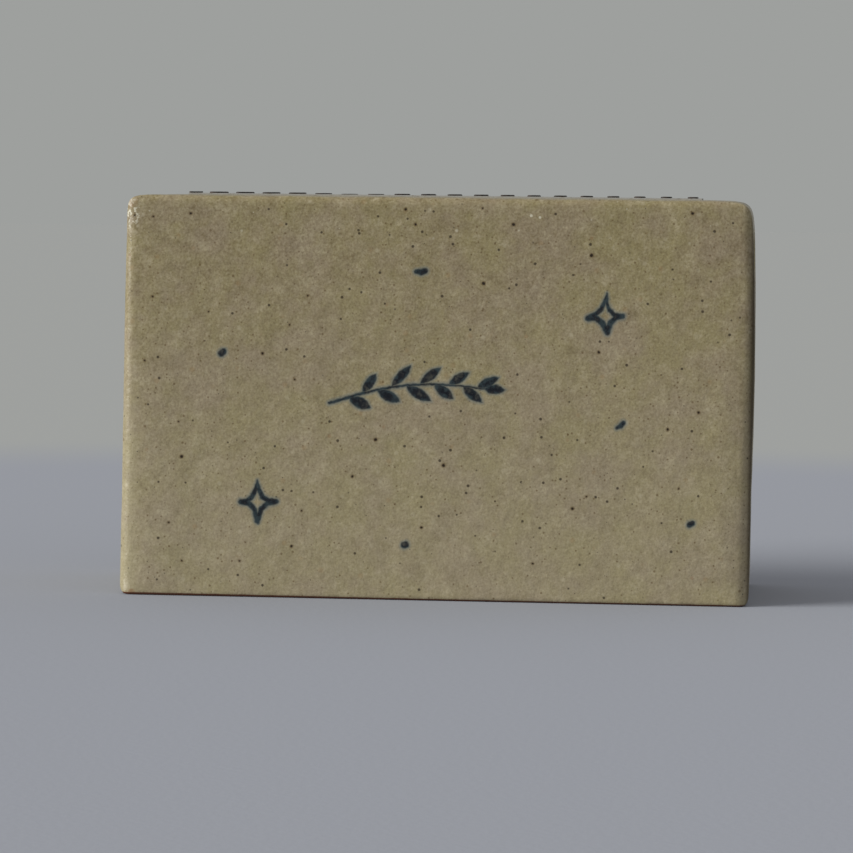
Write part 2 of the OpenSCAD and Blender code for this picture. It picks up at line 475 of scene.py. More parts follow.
def make_piece(name: str, skins: Sequence[Skin], material: bpy.types.Material) -> bpy.types.Object:
    """Makes one object of the scene from its skins.

    Args:
        name: The piece's name.
        skins: Its closed surfaces, which all store the same values.
        material: What it is made of.

    Returns:
        The object, in the frame's place.
    """
    faces, start = [], 0
    for skin in skins:
        faces += skin.faces(start)
        start += len(skin.points)
    mesh = bpy.data.meshes.new(name)
    mesh.from_pydata((np.concatenate([s.points for s in skins]) * MM).tolist(), [], faces)
    for key in skins[0].values:
        layer = mesh.attributes.new(key, "FLOAT", "POINT")
        layer.data.foreach_set("value", np.concatenate([s.values[key] for s in skins]).astype(np.float32))
    mesh.shade_smooth()
    mesh.materials.append(material)
    piece = bpy.data.objects.new(name, mesh)
    bpy.context.scene.collection.objects.link(piece)
    return piece


def seat(piece: bpy.types.Object, body: str, slot: str, *nodes: str) -> None:
    """Ties a piece to the frame and reports it.

    Args:
        piece: The piece.
        body: The body that it rides on.
        slot: The name of its material slot. It is not used.
        nodes: The solids that it stands for.
    """
    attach(piece, body)
    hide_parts(*nodes)
    LOG.info("%s rides on %s with %d faces", piece.name, body, len(piece.data.polygons))


# Painted marks

@dataclass(frozen=True)
class Stroke:
    """One brush stroke on the painted face: its points as (x, z, half its width), in millimetres."""

    points: tuple[tuple[float, float, float], ...]

    def reach(self, shade: Shade, flat: Link) -> Iterator[Sig]:
        """How far a point of the face lies from each run of the stroke.

        Args:
            shade: The material's tree.
            flat: The point, with nothing along Y.

        Yields:
            The distance in millimetres, negative inside the run.
        """
        for (ax, az, ar), (bx, bz, br) in zip(self.points, self.points[1:]):
            run = Vector((bx - ax, 0, bz - az))
            away = shade.vector("SUBTRACT", flat, (ax, 0, az))
            along = shade.measure("DOT_PRODUCT", away, tuple(run / run.length_squared)).clamped()
            off = shade.measure("DISTANCE", away, shade.scaled(run, along))
            yield off.math("MULTIPLY_ADD", along, ar - br, off) - ar


@dataclass(frozen=True)
class Leaf:
    """One leaf of the twig, pointed at both ends: what two crossing circles share."""

    middle: Vector
    way: Vector
    length: float
    half: float

    def reach(self, shade: Shade, flat: Link) -> Iterator[Sig]:
        """How far a point of the face lies from the leaf.

        Args:
            shade: The material's tree.
            flat: The point, with nothing along Y.

        Yields:
            The distance in millimetres, negative inside the leaf.
        """
        radius = (self.length ** 2 / 4 + self.half ** 2) / (2 * self.half)
        aside = Vector((-self.way.y, self.way.x)) * (radius - self.half)
        centres = [self.middle + aside, self.middle - aside]
        one, other = (shade.measure("DISTANCE", flat, (c.x, 0, c.y)) for c in centres)
        yield one.most(other) - radius


@dataclass(frozen=True)
class Sprig:
    """A plain leafy twig: an arched stem with leaves in turn above and below it."""

    start: Pair
    end: Pair
    arch: float = 1.2
    stem: float = 0.13
    stem_runs: int = 6
    stem_foot: float = 1.25
    stem_taper: float = 0.08
    leaves: int = 11
    first_leaf: float = 0.12
    leaf_span: float = 0.82
    leaf_step: float = 0.02
    leaf_gap: float = 0.12
    leaf_l: float = 3.0
    leaf_half: float = 0.56
    leaf_lean: float = 42.0
    tip_lean: float = 4.0

    def at(self, t: float) -> Vector:
        """Follows the stem.

        Args:
            t: A share of its length.

        Returns:
            The stem's place there.
        """
        x = self.start[0] + (self.end[0] - self.start[0]) * t
        z = self.start[1] + (self.end[1] - self.start[1]) * t + self.arch * math.sin(math.pi * t)
        return Vector((x, z))

    def leaf(self, i: int) -> Leaf:
        """Grows one leaf. The leaves get smaller towards both ends of the stem and differ a little.

        Args:
            i: Its number from the foot. The last one ends the stem.

        Returns:
            The leaf.
        """
        last = i == self.leaves - 1
        t = 1.0 if last else self.first_leaf + self.leaf_span * i / (self.leaves - 2)
        near = min(t, 1 - self.leaf_step)
        base, ahead = self.at(near), self.at(near + self.leaf_step)
        lean = self.tip_lean if last else self.leaf_lean * (1 if i % 2 else -1) * (1 - 0.25 * t)
        turned = Matrix.Rotation(math.radians(lean), 2) @ (ahead - base).normalized()
        long = self.leaf_l * (1 - 0.2 * abs(2 * t - 0.9)) * (1 + 0.08 * math.sin(5 * i))
        half = self.leaf_half * (1 - 0.12 * t) * (1 + 0.1 * math.cos(3 * i))
        return Leaf(base + turned * (long / 2 + self.leaf_gap), turned, long, half)

    def parts(self) -> list[Union[Stroke, Leaf]]:
        """Grows the twig.

        Returns:
            The stem, then its leaves from the foot to the tip.
        """
        stem = [self.at(i / self.stem_runs) for i in range(self.stem_runs + 1)]
        widths = [self.stem * (self.stem_foot - self.stem_taper * i) for i in range(len(stem))]
        stroke = Stroke(tuple((p.x, p.y, width) for p, width in zip(stem, widths)))
        return [stroke, *(self.leaf(i) for i in range(self.leaves))]


@dataclass(frozen=True)
class Decoration:
    """What is painted on the face, and the darkest iron specks in it."""

    stars: tuple[Stroke, ...] = (
        Stroke(((18.55, 33.6, 0.07), (18.28, 32.68, 0.19), (17.93, 31.89, 0.23), (17.34, 31.33, 0.28),
                (16.58, 30.89, 0.34))),
        Stroke(((18.55, 33.6, 0.07), (18.52, 32.61, 0.18), (18.8, 31.82, 0.22), (19.39, 31.28, 0.26),
                (20.25, 31.19, 0.27))),
        Stroke(((16.58, 30.89, 0.34), (17.39, 30.96, 0.3), (18.11, 30.34, 0.3), (18.63, 29.44, 0.33))),
        Stroke(((20.25, 31.19, 0.27), (19.49, 30.96, 0.3), (18.93, 30.4, 0.29), (18.63, 29.44, 0.33))),
        Stroke(((-19.16, 12.76, 0.07), (-19.33, 11.75, 0.23), (-19.75, 10.95, 0.27), (-20.28, 10.49, 0.27),
                (-20.93, 10.4, 0.31))),
        Stroke(((-19.16, 12.76, 0.07), (-18.96, 11.76, 0.23), (-18.58, 10.97, 0.27), (-17.96, 10.58, 0.28),
                (-17.12, 10.5, 0.29))),
        Stroke(((-20.93, 10.4, 0.31), (-20.06, 10.25, 0.28), (-19.46, 9.64, 0.27), (-19.12, 8.31, 0.26))),
        Stroke(((-17.12, 10.5, 0.29), (-18.05, 10.26, 0.3), (-18.73, 9.64, 0.27), (-19.12, 8.31, 0.26))),
    )
    dots: tuple[Stroke, ...] = (
        Stroke(((-2.05, 35.66, 0.24), (-1.57, 35.63, 0.34), (-1.13, 35.74, 0.32))),
        Stroke(((-23.24, 26.51, 0.34), (-22.99, 26.72, 0.34))),
        Stroke(((19.81, 19.13, 0.18), (20.19, 19.34, 0.26), (20.5, 19.66, 0.26))),
        Stroke(((-3.06, 5.98, 0.35), (-2.88, 6.08, 0.35))),
        Stroke(((27.78, 8.81, 0.3), (28.05, 8.95, 0.3))),
    )
    sprig: Sprig = Sprig((-11.4, 21.3), (5.6, 23.1))
    specks: tuple[tuple[float, tuple[Pair, ...]], ...] = (
        (0.19, ((-6.3, 17.44), (8.37, 40.88), (16.81, 37.66), (5.21, 34.49),
                (27.57, 42.3), (-27.5, 15.22), (1.12, 14.75))),
        (0.15, ((25.25, 19.06), (28.55, 20.95), (-8.77, 13.38), (15.15, 10.35), (-18.72, 26.57), (-15.35, 5.63),
                (-26.72, 41.64), (-2.22, 40.75), (-3.32, 42.35), (-1.2, 7.98), (17.71, 27.24))),
        (0.11, ((16.64, 11.67), (-28.87, 7.99), (-31.65, 25.62), (-30.77, 41.26), (-32.85, 41.35), (10.9, 4.3),
                (-21.04, 3.98), (26.53, 12.72), (-27.86, 19.03), (-24.67, 31.04), (-30.81, 32.58), (5, 42.56),
                (-13.87, 32.92), (-27.41, 3.86), (-14.3, 9.57), (-15.2, 23.8), (-15.8, 29.76))),
    )

    def paint(self, shade: Shade, flat: Link) -> Sig:
        """How far a point of the face lies from all painted strokes, in millimetres."""
        parts = (*self.stars, *self.dots, *self.sprig.parts())
        return reduce(Sig.least, (off for part in parts for off in part.reach(shade, flat)))

    def iron(self, shade: Shade, flat: Link) -> Sig:
        """How far a point of the face lies from the placed specks.

        Args:
            shade: The material's tree.
            flat: The point, with nothing along Y.

        Returns:
            The distance in millimetres, negative inside a speck.
        """
        groups = (
            reduce(Sig.least, (shade.measure("DISTANCE", flat, (x, 0, z)) for x, z in places)) - radius
            for radius, places in self.specks
        )
        return reduce(Sig.least, groups)


# Finishes

@dataclass(frozen=True)
class Finish:
    """A material by its name. Each kind dresses its tree in its own way."""

    name: str

    def dress(self, shade: Shade) -> None:
        """Adds the material's nodes to its tree."""
        raise NotImplementedError

    def make(self) -> bpy.types.Material:
        """Builds the material.

        Returns:
            The material.
        """
        material = bpy.data.materials.new(self.name)
        self.dress(Shade(material))
        return material


@dataclass(frozen=True)
class Clay:
    """The sandy stoneware body, with its iron specks."""

    toast: Rgba = linear(150, 112, 78)
    buff: Rgba = linear(176, 150, 116)
    dust: Rgba = linear(196, 176, 146)
    iron: Rgba = linear(34, 24, 10)
    brown: Rgba = linear(86, 66, 34)
    smallest: float = 0.35
    swell: float = 1.1
    soft: Pair = (-0.04, 0.05)

    def specks(self, shade: Shade, place: Link, pitch: float, radius: float, share: float) -> Sig:
        """Scattered round specks of mixed sizes.

        Args:
            shade: The material's tree.
            place: Where a point of the surface lies.
            pitch: About how far apart they are, in millimetres.
            radius: The radius of the largest, in millimetres.
            share: How many of the places hold a speck, from 0 to 1.

        Returns:
            1 inside a speck and 0 outside, with soft edges.
        """
        distance, chance, growth = shade.grains(place, pitch)
        size = growth * ((1 - self.smallest) * radius) + self.smallest * radius
        return (size * self.swell - distance).ease(*self.soft) * chance.over(1 - share)

    def bare(self, shade: Shade, place: Link) -> Link:
        """The colour of the clay where no glaze covers it.

        Args:
            shade: The material's tree.
            place: Where a point of the surface lies.

        Returns:
            The colour.
        """
        colour = shade.mix(self.toast, self.buff, shade.noise(place, 6, 3).ease(0.36, 0.6))
        colour = shade.mix(colour, self.dust, shade.noise(place, 0.35, 1).ease(0.55, 0.75, 0, 0.5))
        return shade.mix(colour, self.iron, self.specks(shade, place, 0.9, 0.16, 0.4) * 0.8)


@dataclass(frozen=True)
class GlazedStoneware(Finish):
    """Clay under a thin satin glaze, with an unglazed foot and unglazed sliding faces.

    The decoration is what is painted on the front, if anything, and the foot is how high the
    burnt line at the foot reaches, if it has one. The mesh stores the values bare and edge.
    """

    decoration: Optional[Decoration] = None
    foot: Optional[float] = None
    olive: Rgba = linear(132, 122, 86)
    pink: Rgba = linear(132, 119, 96)
    milk: Rgba = linear(160, 150, 122)
    shadow: Rgba = linear(102, 89, 59)
    cream: Rgba = linear(178, 170, 144)
    # painted highlight: the white of the glints laid near the top edge and the top left corner
    glint: Rgba = linear(196, 192, 172)
    rust: Rgba = linear(124, 86, 50)
    toast: Rgba = linear(136, 110, 72)
    burnt: Rgba = linear(86, 50, 32)
    # painted shade: the dark brown laid along the right front edge, which turns away from the light
    brown: Rgba = linear(44, 34, 18)
    halo: Rgba = linear(100, 108, 104)
    thin_ink: Rgba = linear(40, 52, 55)
    ink: Rgba = linear(4, 10, 20)
    clay: Clay = Clay()
    blooms: tuple[tuple[Rgba, float, float], ...] = ((toast, 2.3, 0.42), (cream, 1.9, 0.36), (rust, 3.7, 0.32))
    # where the painted highlights crowd, near the top left corner
    glint_corner: tuple[float, float, float] = (-34.0, -12.6, 41.6)
    rust_spots: tuple[tuple[tuple[float, float, float], float], ...] = (
        ((-33.3, -12.7, 43.0), 1.15), ((-32.9, -12.9, 0.25), 0.5),
    )
    waver_size: float = 0.5
    waver: float = 0.22
    front_edge: Pair = (-10.8, -12.0)
    front_face: Pair = (-11.9, -12.5)
    foot_run: Pair = (-34, 10)
    foot_left: float = 1.4
    swell_depth: float = 0.10
    pit_depth: float = 0.045
    refraction: float = 1.4

    def body(self, shade: Shade, place: Link) -> Link:
        """The glaze's colour: slow clouds, sand of all sizes, small iron specks, and painted light that makes it
        paler towards the foot.

        Args:
            shade: The material's tree.
            place: Where a point of the surface lies.

        Returns:
            The colour.
        """
        colour = shade.mix(self.olive, self.pink, shade.noise(place, 5, 4, 0.65).ease(0.3, 0.7))
        sand = shade.noise(place, 1.9, 4, 1.0)
        colour = shade.mix(colour, self.milk, sand.ease(0.48, 0.76, 0, 0.8))
        colour = shade.mix(colour, self.shadow, sand.ease(0.52, 0.24, 0, 0.75))
        fine = shade.noise(place, 0.26, 1)
        colour = shade.mix(colour, self.shadow, fine.ease(0.5, 0.2, 0, 0.55))
        colour = shade.mix(colour, self.milk, fine.ease(0.5, 0.8, 0, 0.4))
        # painted light: the glaze is made paler towards the foot, as light bounced from the floor shows it
        colour = shade.mix(colour, self.cream, shade.axis(place, "Z").ease(44, 0, 0, 0.2))
        for bloom, pitch, radius in self.blooms:
            distance, chance, _ = shade.grains(place, pitch)
            colour = shade.mix(colour, bloom, distance.ease(radius, radius * 0.3, 0, 0.3) * chance.over(0.5))
        layers = (
            (self.clay.brown, 0.52, 0.1, 0.6, 0.65),
            (self.clay.brown, 1.35, 0.2, 0.4, 0.6),
            (self.clay.iron, 1.0, 0.15, 0.5, 0.8),
        )
        for tone, pitch, radius, share, strength in layers:
            specks = self.clay.specks(shade, place, pitch, radius, share)
            colour = shade.mix(colour, tone, specks * strength)
        return colour

    def glints(self, shade: Shade, place: Link) -> Sig:
        """How strongly the painted white glints show: painted highlights, few near the top edge and many near its
        left end.

        Args:
            shade: The material's tree.
            place: Where a point of the surface lies.

        Returns:
            The strength, from 0 to 1.
        """
        few = self.clay.specks(shade, place, 1.3, 0.16, 0.4) * shade.axis(place, "Z").ease(37, 43) * 0.7
        corner = shade.measure("DISTANCE", place, self.glint_corner).ease(2.5, 0.8)
        return few.most(shade.noise(place, 0.42, 2, 0.6).ease(0.52, 0.6) * corner)

    def front_edges(self, shade: Shade, place: Link, colour: Link) -> Link:
        """Paints light and shade along the front's upright edges: a paler band of painted highlight down the
        lower left edge, where the light falls, and a brown band of painted shade down the right edge, which turns
        away from it.

        Args:
            shade: The material's tree.
            place: Where a point of the surface lies.
            colour: The colour below.

        Returns:
            The new colour.
        """
        front = shade.axis(place, "Y").ease(*self.front_edge)
        x = shade.axis(place, "X")
        low = shade.axis(place, "Z").ease(34, 14)
        # painted highlight: a paler band down the lower part of the left front edge, where the light falls
        colour = shade.mix(colour, self.cream, x.ease(-31.8, -33.2, 0, 0.14) * low * front)
        # painted shade: a dark brown band down the right front edge
        return shade.mix(colour, self.brown, x.ease(33.7, 34.3, 0, 0.8) * front)

    def painted(self, shade: Shade, place: Link, colour: Link) -> Link:
        """Lays the placed specks and the brush strokes over the front face.

        Args:
            shade: The material's tree.
            place: Where a point of the surface lies.
            colour: The colour below.

        Returns:
            The new colour.
        """
        front = shade.axis(place, "Y").ease(*self.front_face)
        sockets = {"Vector": place, "Scale": 1 / self.waver_size, "Detail": 2.0}
        ripple = shade.node("ShaderNodeTexNoise", {}, sockets).outputs["Color"]
        sway, middle = self.waver, -self.waver / 2
        waver = shade.vector("MULTIPLY_ADD", ripple, (sway, 0, sway), (middle, 0, middle))
        flat = shade.vector("MULTIPLY_ADD", place, (1, 0, 1), waver)
        iron = self.decoration.iron(shade, flat)
        colour = shade.mix(colour, self.clay.brown, iron.ease(0.16, 0.0, 0, 0.55) * front)
        colour = shade.mix(colour, self.clay.iron, iron.ease(0.03, -0.08) * front)
        distance = self.decoration.paint(shade, flat)
        colour = shade.mix(colour, self.halo, distance.ease(0.4, 0.0, 0, 0.6) * front)
        cloud = shade.noise(place, 0.9, 3, 0.6)
        pool = (distance * -1.8 + cloud * 4.5).ease(1.9, 3.0)
        ink = shade.mix(self.thin_ink, self.ink, pool)
        cover = distance.ease(0.13, -0.1) * cloud.ease(0.75, 0.5, 0.76, 1.0)
        return shade.mix(colour, ink, cover * front)

    def dress(self, shade: Shade) -> None:
        """Adds the nodes: the glaze, what lies on it, the bare clay, and the relief and gloss.

        Args:
            shade: The material's tree.
        """
        place = shade.place()
        edge = shade.attribute("edge")
        ragged = shade.noise(place, 1.1, 3)
        colour = self.body(shade, place)
        colour = shade.mix(colour, self.rust, (edge * ragged).ease(0.42, 0.75, 0, 0.1))
        bare = (shade.attribute("bare") + ragged * 0.5 - 0.25).ease(0.4, 0.6)
        if self.decoration is not None:
            # painted highlight along the left front edge and painted shade along the right one
            colour = self.front_edges(shade, place, colour)
            # painted highlights: white glints near the top edge and the top left corner
            colour = shade.mix(colour, self.glint, self.glints(shade, place))
            for spot, reach in self.rust_spots:
                near = shade.measure("DISTANCE", place, spot).ease(reach, 0.3)
                colour = shade.mix(colour, self.rust, near * ragged.ease(0.35, 0.6, 0.15, 0.55))
            colour = self.painted(shade, place, colour)
        if self.foot is not None:
            height = shade.axis(place, "Z") + ragged * 0.1 - 0.05
            line = shade.axis(place, "X").ease(*self.foot_run, self.foot * self.foot_left, self.foot)
            colour = shade.mix(colour, self.burnt, (line - height).ease(-0.04, 0.03))
            bare = bare.most(height.ease(0.03, 0.0))
        colour = shade.mix(colour, self.clay.bare(shade, place), bare)
        normal = shade.bump(shade.noise(place, 2.4, 2), self.swell_depth)
        normal = shade.bump(shade.noise(place, 0.55, 3, 0.6), self.pit_depth, normal)
        rough = bare.math("MULTIPLY_ADD", bare, 0.45, shade.noise(place, 0.8, 2).ease(0.35, 0.65, 0.27, 0.42))
        if self.decoration is not None:
            dull = shade.axis(place, "X").ease(33.3, 34.2, 0, 0.9) * shade.axis(place, "Y").ease(*self.front_edge)
            rough = rough.most(dull)
        shade.surface({"Base Color": colour, "Roughness": rough, "Normal": normal, "IOR": self.refraction})


@dataclass(frozen=True)
class StripFilm(Finish):
    """The clear sticky film under the striking strip."""

    film: Rgba = linear(150, 147, 134)
    dust: Rgba = linear(128, 122, 104)
    name: str = "adhesive_film"

    def dress(self, shade: Shade) -> None:
        """Adds the material's nodes.

        Args:
            shade: The material's tree.
        """
        place = shade.place()
        cloud = shade.noise(place, 1.2, 3)
        colour = shade.mix(self.film, self.dust, cloud.ease(0.5, 0.75))
        shade.surface({"Base Color": colour, "Roughness": cloud.ease(0.3, 0.7, 0.2, 0.45)})


@dataclass(frozen=True)
class StripPaper(Finish):
    """The strip's off-white printed paper, with its fibres."""

    paper: Rgba = linear(150, 149, 143)
    fibre: Rgba = linear(134, 130, 118)
    smudge: Rgba = linear(98, 88, 78)
    name: str = "strip_paper"

    def dress(self, shade: Shade) -> None:
        """Adds the material's nodes.

        Args:
            shade: The material's tree.
        """
        place = shade.place()
        fibres = shade.noise(shade.place(stretch=(0.4, 1.6, 1)), 0.3, 3, 0.6)
        colour = shade.mix(self.paper, self.fibre, fibres.ease(0.5, 0.72))
        colour = shade.mix(colour, self.smudge, shade.noise(place, 1.8, 3).ease(0.56, 0.8, 0, 0.5))
        normal = shade.bump(fibres, 0.02)
        shade.surface({"Base Color": colour, "Roughness": fibres.ease(0.3, 0.7, 0.7, 0.9), "Normal": normal})


@dataclass(frozen=True)
class StrikingCompound(Finish):
    """The dark gritty compound, printed in blocks."""

    dark: Rgba = linear(30, 24, 20)
    warm: Rgba = linear(58, 42, 34)
    glass: Rgba = linear(130, 112, 100)
    name: str = "striking_compound"

    def dress(self, shade: Shade) -> None:
        """Adds the material's nodes.

        Args:
            shade: The material's tree.
        """
        place = shade.place()
        grit = shade.noise(place, 0.12, 2, 0.6)
        colour = shade.mix(self.dark, self.warm, shade.noise(place, 1.1, 3).ease(0.4, 0.65))
        distance, chance, _ = shade.grains(place, 0.22)
        sparkle = distance.ease(0.05, 0.02) * chance.over(0.8)
        colour = shade.mix(colour, self.glass, sparkle * 0.7)
        normal = shade.bump(grit, 0.03)
        shade.surface({"Base Color": colour, "Roughness": grit.ease(0.3, 0.7, 0.55, 0.85), "Normal": normal})


@dataclass(frozen=True)
class SplintWood(Finish):
    """Pale aspen, split along the grain, waxed and stained near the head."""

    pale: Rgba = linear(222, 198, 154)
    deep: Rgba = linear(196, 162, 112)
    fibre: Rgba = linear(158, 122, 78)
    waxed: Rgba = linear(188, 150, 98)
    stain: Rgba = linear(128, 48, 34)
    name: str = "splint_wood"

    def dress(self, shade: Shade) -> None:
        """Adds the material's nodes, which reads the mesh's values named along and tone.

        Args:
            shade: The material's tree.
        """
        along, tone = shade.attribute("along"), shade.attribute("tone")
        grain = shade.noise(shade.place(stretch=(0.05, 1, 1)), 0.28, 3, 0.6)
        bands = shade.noise(shade.place(stretch=(0.02, 1, 1)), 0.9, 2)
        colour = shade.mix(self.pale, self.deep, (bands + tone * 0.5 - 0.25).ease(0.35, 0.65))
        colour = shade.mix(colour, self.fibre, grain.ease(0.56, 0.78, 0, 0.7))
        blotch = shade.noise(shade.place(stretch=(0.3, 1, 1)), 0.8, 2) * 0.06
        colour = shade.mix(colour, self.waxed, (along + blotch).ease(0.66, 0.86, 0, 0.75))
        colour = shade.mix(colour, self.stain, (along + blotch).ease(0.915, 0.955, 0, 0.8))
        normal = shade.bump(grain, 0.06)
        shade.surface({"Base Color": colour, "Roughness": along.ease(0.6, 0.85, 0.78, 0.5), "Normal": normal})


@dataclass(frozen=True)
class HeadCompound(Finish):
    """The dried dip of a match head."""

    dip: Rgba = linear(122, 40, 30)
    crust: Rgba = linear(150, 66, 50)
    pit: Rgba = linear(70, 24, 20)
    name: str = "head_compound"

    def dress(self, shade: Shade) -> None:
        """Adds the material's nodes.

        Args:
            shade: The material's tree.
        """
        place = shade.place()
        grit = shade.noise(place, 0.22, 3, 0.6)
        colour = shade.mix(self.dip, self.crust, grit.ease(0.5, 0.7))
        distance, chance, _ = shade.grains(place, 0.5)
        pits = distance.ease(0.12, 0.05) * chance.over(0.6)
        colour = shade.mix(colour, self.pit, pits)
        normal = shade.bump(grit - pits * 0.5, 0.05)
        shade.surface({"Base Color": colour, "Roughness": grit.ease(0.3, 0.7, 0.5, 0.75), "Normal": normal})


@dataclass(frozen=True)
class StudioPaper(Finish):
    """The seamless paper that the box stands on, a little cooler near it than further out."""

    near: Rgba = linear(151, 154, 160)
    far: Rgba = linear(160, 162, 159)
    turn: float = 222.0
    name: str = "studio_paper"

    def dress(self, shade: Shade) -> None:
        """Adds the material's nodes.

        Args:
            shade: The material's tree.
        """
        place = shade.place()
        away = shade.measure("LENGTH", place)
        colour = shade.mix(self.near, self.far, away.ease(self.turn - 40, self.turn + 40))
        tooth = shade.noise(place, 0.8, 3)
        normal = shade.bump(tooth, 0.02)
        sockets = {"Roughness": tooth.ease(0.3, 0.7, 0.85, 0.95), "Specular IOR Level": 0.0}
        shade.surface({"Base Color": colour, "Normal": normal, **sockets})


# Sub-assemblies

@dataclass(frozen=True)
class SoftCorner:
    """A corner of the painted face that is rubbed round: how far it reaches up and along."""

    side: int
    top: bool
    rise: float
    run: float


@dataclass
class Sleeve:
    """The glazed and painted tube that is open at both ends."""

    length: float = 69.0
    depth: float = 26.0
    height: float = 43.7
    wall: float = 3.4
    left_lean: float = 0.64
    right_foot_inset: float = 0.25
    right_top_inset: float = 0.4
    swell_z: float = 28.84
    swell_round: float = 0.18
    end_edge_low: float = 1.6
    end_edge_high: float = 1.15
    end_edge_span: Pair = (0.3, 0.75)
    top_edge: float = 1.0
    foot_edge: float = 0.45
    mouth_edge: float = 0.8
    inner_corner: float = 1.2
    corner_power: float = 3.5
    corners: tuple[SoftCorner, ...] = (
        SoftCorner(-1, True, 5, 6.5),
        SoftCorner(1, True, 7.5, 6.5),
        SoftCorner(-1, False, 5, 3),
        SoftCorner(1, False, 3, 3),
    )
    strip_half: Pair = (29.5, 5.1)
    loop: RoundLoop = RoundLoop(across=34, up=60, arc=7)
    stations: int = 92
    inner_stations: int = 34
    rim_shares: tuple[float, ...] = (0.35, 0.7, 1.0)
    arc_share: float = 0.92
    corner_share: float = 0.8
    fit_from: float = -2.5
    fit_to: float = 1.5
    fit_halvings: int = 26
    soft_from: float = 0.5
    soft_share: float = 0.5
    top_skin: float = 0.7
    foot_flat: float = 0.15
    fade: float = 1.5
    least_slack: float = 0.003
    uneven_depth: float = 0.045
    ripple_depth: float = 0.018
    tunnel_share: float = 0.4
    bare_from: float = 1.5
    bare_run: float = 3.0
    burnt_foot: float = 0.2
    slack: float = 0.02
    end_ease: float = 3.8
    end_sag: float = 0.16
    unevenness: Wobble = field(default_factory=lambda: Wobble(11, 7, 26))
    ripples: Wobble = field(default_factory=lambda: Wobble(12, 2.6, 6))

    def left_x(self, z: np.ndarray) -> np.ndarray:
        """Where the left end lies at each height."""
        return -self.length / 2 + self.left_lean * z / self.height

    def right_x(self, z: np.ndarray) -> np.ndarray:
        """Where the right end lies. It swells between its foot and its top.

        Args:
            z: The heights.

        Returns:
            The end's place along X at each height.
        """
        half = self.length / 2
        low = half - self.right_foot_inset * (1 - z / self.swell_z)
        high = half - self.right_top_inset * (z - self.swell_z) / (self.height - self.swell_z)
        blend = np.maximum(self.swell_round - np.abs(low - high), 0) / self.swell_round
        return np.minimum(low, high) - blend ** 2 * self.swell_round / 4

    def end_edge(self, z: np.ndarray) -> np.ndarray:
        """The radius of the upright edges at each height: they are rubbed rounder near the foot."""
        heights = [share * self.height for share in self.end_edge_span]
        return np.interp(z, heights, (self.end_edge_low, self.end_edge_high))

    def holds(self, points: np.ndarray) -> np.ndarray:
        """Whether each point lies inside the block that the slabs enclose.

        Args:
            points: The points.

        Returns:
            Whether each lies inside.
        """
        x, y, z = points[..., 0], points[..., 1], points[..., 2]
        ends = {-1: x - self.left_x(z), 1: self.right_x(z) - x}
        side, top = self.depth / 2 - np.abs(y), self.height - z
        inside = (ends[-1] > 0) & (ends[1] > 0) & (side > 0) & (top > 0) & (z > 0)
        upright = self.end_edge(z)
        rounded = ((ends[-1], upright), (ends[1], upright), (top, self.top_edge), (z, self.foot_edge))
        for face, radius in rounded:
            inside &= np.hypot(np.maximum(radius - face, 0), np.maximum(radius - side, 0)) < radius
        for corner in self.corners:
            level = np.maximum(top if corner.top else z, 0) / corner.rise
            end = np.maximum(ends[corner.side], 0) / corner.run
            inside &= level ** (1 / self.corner_power) + end ** (1 / self.corner_power) > 1
        return inside

    def fit(self, base: np.ndarray, ways: np.ndarray) -> np.ndarray:
        """Moves points along their ways until they lie on the block's surface.

        Args:
            base: The points.
            ways: The way that each may move along.

        Returns:
            The moved points.
        """
        low, high = np.full(base.shape[:-1], self.fit_from), np.full(base.shape[:-1], self.fit_to)
        for _ in range(self.fit_halvings):
            middle = (low + high) / 2
            inside = self.holds(base + ways * middle[..., None])
            low, high = np.where(inside, middle, low), np.where(inside, high, middle)
        return base + ways * low[..., None]

    def row(
        self, inset: float, radius: float, side: int, back: float, turn: float
    ) -> tuple[np.ndarray, np.ndarray]:
        """One row of points round the tube near an end.

        Args:
            inset: How far inside the outer faces the row runs.
            radius: The radius of its corners.
            side: -1 for the left end and 1 for the right end.
            back: How far the row lies behind that end.
            turn: How far its ways turn from outwards to along the tube, in radians.

        Returns:
            The points and the ways that they are fitted along.
        """
        flat, outward = self.loop.trace(self.depth / 2 - inset, self.height / 2 - inset, radius)
        flat[:, 1] += self.height / 2
        end = self.left_x(flat[:, 1]) if side < 0 else self.right_x(flat[:, 1])
        return stand(flat, 0, end - side * back), stand(outward * math.cos(turn), 0, side * math.sin(turn))

    def rim(self, side: int) -> list[np.ndarray]:
        """Goes over one end, from its outer edge across the rim into its mouth.

        Args:
            side: -1 for the left end and 1 for the right end.

        Returns:
            The points of each row.
        """
        arc, corner = self.end_edge_low * self.arc_share, self.top_edge * self.corner_share
        rows = []
        for turn, (inset, back) in list(zip(self.loop.turns(), self.loop.quarter(arc)))[1:]:
            rows.append(self.fit(*self.row(inset, corner, side, back, turn)))
        for share in self.rim_shares:
            inset = arc + (self.wall - self.mouth_edge - arc) * share
            rows.append(self.fit(*self.row(inset, self.inner_corner, side, 0, QUARTER)))
        edge = rows[-1][:, 0]
        for back, aside in self.loop.quarter(self.mouth_edge)[1:]:
            mouth, _ = self.row(self.wall - aside, self.inner_corner, side, 0, 0)
            mouth[:, 0] = edge - side * back
            rows.append(mouth)
        return rows

